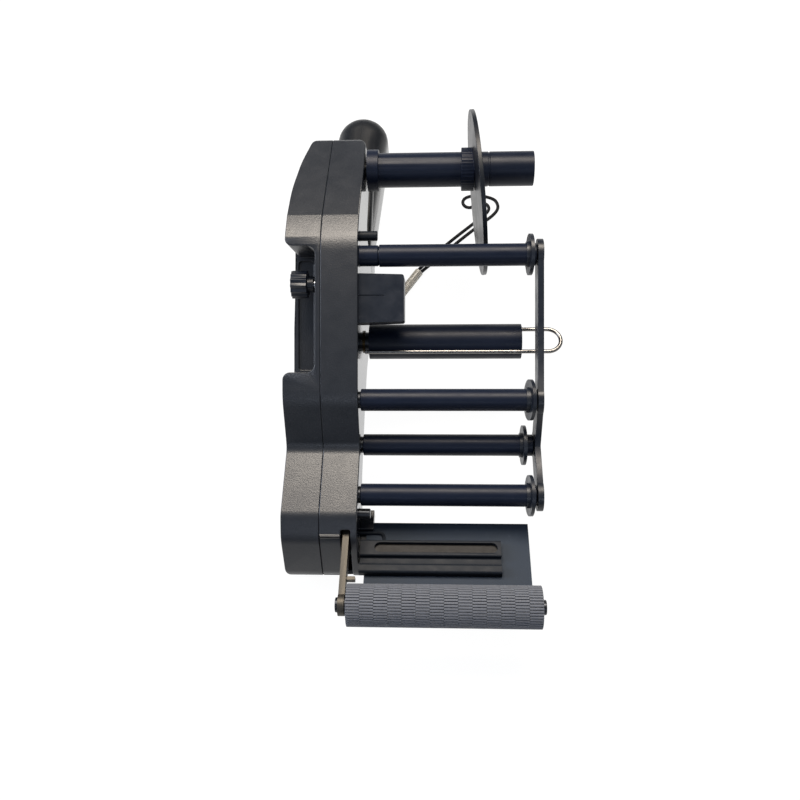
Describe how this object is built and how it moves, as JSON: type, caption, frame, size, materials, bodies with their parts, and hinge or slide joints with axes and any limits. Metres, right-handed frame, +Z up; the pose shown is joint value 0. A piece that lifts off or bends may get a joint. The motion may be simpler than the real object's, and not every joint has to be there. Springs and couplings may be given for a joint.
{
  "type": "electric label applicator",
  "caption": "Hand-held electric label applicator with guide rollers, supply spindle and disc, rewind core, peel plate with sensor bar, sprung press roller, speed knob and grip",
  "frame": {"origin": "on the surface that the machine lies on, under the middle of the grip, at the seam of the shells", "axes": "+X along the rollers away from the side wall, +Y to the rear end of the grip, +Z up"},
  "size_m": [0.1669, 0.3796, 0.1297],
  "materials": {
    "shell_plastic": "fine satin texture",
    "grip_plastic": "fine satin texture",
    "gloss_black": "polished",
    "axle_aluminium": "turned",
    "steel": "turned",
    "arm_steel": "dull",
    "dark_steel": "blackened",
    "bush_bronze": "sintered",
    "chrome_wire": "plated",
    "ring_rubber": "moulded",
    "plate_metal": "dark anodised",
    "window_plastic": "clear brown",
    "gear_plastic": "moulded",
    "board": "lacquered",
    "pot_plastic": "moulded",
    "cell_sleeve": "sleeved",
    "button_plastic": "moulded",
    "cord_fibre": "braided",
    "sleeve_plastic": "soft"
  },
  "bodies": {
    "body": {"left_cover": "shell_plastic", "right_cover": "shell_plastic", "plate_bracket": "shell_plastic", "side_box": "shell_plastic", "stub_pin": "shell_plastic", "strap_anchor": "shell_plastic", "charge_socket": "shell_plastic", "micro_switch": "shell_plastic", "grip_left": "grip_plastic", "grip_right": "grip_plastic", "outer_bar": "gloss_black", "sensor_bar": "gloss_black", "sensor_lead": "gloss_black", "supply_axle": "axle_aluminium", "frame_plate": "axle_aluminium", "frame_screws": "steel", "motor": "steel", "arm_spring": "steel", "guide_axles": "dark_steel", "shell_screws": "dark_steel", "axle_clip": "dark_steel", "bar_screws": "dark_steel", "arm_pin": "dark_steel", "bracket_screws": "dark_steel", "grip_screws": "dark_steel", "rewind_bush": "bush_bronze", "frame_bush": "bush_bronze", "peel_plate": "plate_metal", "sensor_window": "window_plastic", "circuit_board": "board", "potentiometer": "pot_plastic", "battery_pack": "cell_sleeve", "wrist_cord": "cord_fibre", "strap_sleeve": "sleeve_plastic"},
    "rewind": {"rewind_gear": "gear_plastic", "rewind_shaft": "steel", "rewind_core": "gloss_black"},
    "clip": {"wire_clip": "chrome_wire"},
    "pinion": {"motor_pinion": "bush_bronze"},
    "supply": {"supply_spindle": "gloss_black"},
    "disc": {"supply_disc": "gloss_black"},
    "arm": {"press_arm": "arm_steel", "press_axle": "dark_steel"},
    "press": {"press_core": "gloss_black", "press_rings": "ring_rubber"},
    "knob": {"adjust_knob": "shell_plastic", "knob_shaft": "steel"},
    "button": {"start_button": "button_plastic"},
    "roller_1": {"guide_roller_1": "gloss_black"},
    "edge_1": {"edge_disc_1": "gloss_black"},
    "roller_2": {"guide_roller_2": "gloss_black"},
    "edge_2": {"edge_disc_2": "gloss_black"},
    "roller_3": {"guide_roller_3": "gloss_black"},
    "edge_3": {"edge_disc_3": "gloss_black"},
    "roller_4": {"guide_roller_4": "gloss_black"},
    "edge_4": {"edge_disc_4": "gloss_black"}
  },
  "joints": [
    {"name": "rewind_spin", "type": "hinge", "parent": "body", "child": "rewind", "pos_m": [0.072, -0.13337, 0.04949], "axis": [1, 0, 0], "continuous": true},
    {"name": "motor_spin", "type": "hinge", "parent": "body", "child": "pinion", "pos_m": [0.012, -0.10772, 0.04525], "axis": [1, 0, 0], "continuous": true},
    {"name": "clip_slide", "type": "slide", "parent": "rewind", "child": "clip", "axis": [1, 0, 0], "range_m": [0, 0.09]},
    {"name": "supply_spin", "type": "hinge", "parent": "body", "child": "supply", "pos_m": [0.072, -0.02676, 0.08504], "axis": [1, 0, 0], "continuous": true},
    {"name": "disc_slide", "type": "slide", "parent": "supply", "child": "disc", "axis": [1, 0, 0], "range_m": [-0.05, 0.018]},
    {"name": "arm_swing", "type": "hinge", "parent": "body", "child": "arm", "pos_m": [0.014, -0.2401, 0.03273], "axis": [-1, 0, 0], "range_deg": [0, 6], "stiffness_Nm_per_rad": 1, "springref_deg": -8.59, "deforming": ["arm_spring"]},
    {"name": "press_spin", "type": "hinge", "parent": "arm", "child": "press", "pos_m": [0.072, -0.29539, 0.04283], "axis": [1, 0, 0], "continuous": true},
    {"name": "knob_turn", "type": "hinge", "parent": "body", "child": "knob", "pos_m": [-0.013, -0.11364, 0.08445], "axis": [1, 0, 0], "range_deg": [-135, 135]},
    {"name": "start_press", "type": "slide", "parent": "body", "child": "button", "axis": [0, 0, -1], "range_m": [0, 0.0025], "stiffness_N_per_m": 400, "springref_m": -0.002},
    {"name": "roller_1_spin", "type": "hinge", "parent": "body", "child": "roller_1", "pos_m": [0.072, -0.10373, 0.09918], "axis": [1, 0, 0], "continuous": true},
    {"name": "edge_1_slide", "type": "slide", "parent": "roller_1", "child": "edge_1", "axis": [1, 0, 0], "range_m": [-0.065, 0]},
    {"name": "roller_2_spin", "type": "hinge", "parent": "body", "child": "roller_2", "pos_m": [0.072, -0.18011, 0.06258], "axis": [1, 0, 0], "continuous": true},
    {"name": "edge_2_slide", "type": "slide", "parent": "roller_2", "child": "edge_2", "axis": [1, 0, 0], "range_m": [-0.08, 0]},
    {"name": "roller_3_spin", "type": "hinge", "parent": "body", "child": "roller_3", "pos_m": [0.072, -0.19739, 0.03545], "axis": [1, 0, 0], "continuous": true},
    {"name": "edge_3_slide", "type": "slide", "parent": "roller_3", "child": "edge_3", "axis": [1, 0, 0], "range_m": [-0.08, 0]},
    {"name": "roller_4_spin", "type": "hinge", "parent": "body", "child": "roller_4", "pos_m": [0.072, -0.23034, 0.03851], "axis": [1, 0, 0], "continuous": true},
    {"name": "edge_4_slide", "type": "slide", "parent": "roller_4", "child": "edge_4", "axis": [1, 0, 0], "range_m": [-0.08, 0]}
  ],
  "couplings": [
    {"joint": "motor_spin", "follows": "rewind_spin", "ratio": -2.25}
  ]
}
